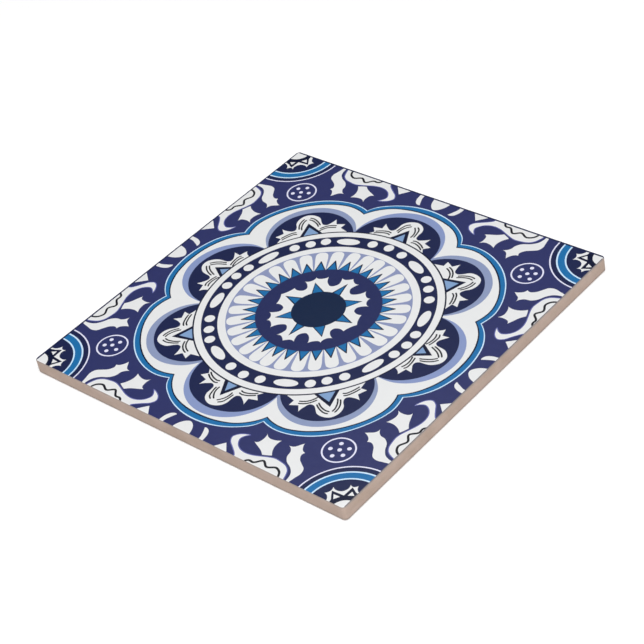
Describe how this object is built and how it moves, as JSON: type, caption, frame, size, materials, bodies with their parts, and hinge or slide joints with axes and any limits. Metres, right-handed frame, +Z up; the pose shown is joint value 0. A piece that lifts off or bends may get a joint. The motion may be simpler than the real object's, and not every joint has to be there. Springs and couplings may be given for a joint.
{
  "type": "azulejo tile",
  "caption": "Square glazed wall tile with a blue and white rosette ornament, a plain biscuit edge and a keyed back that mortar grips.",
  "frame": {"origin": "middle of the square back, on the plane of its ribs", "axes": "+Z up through the glazed face; X and Y along the sides"},
  "size_m": [0.15, 0.15, 0.006],
  "materials": {
    "glazed_tile": "blue and white inglaze ornament under a satin glaze on the face, bare tan biscuit on the sides and back"
  },
  "bodies": {
    "root": {"tile": "glazed_tile"}
  },
  "joints": []
}
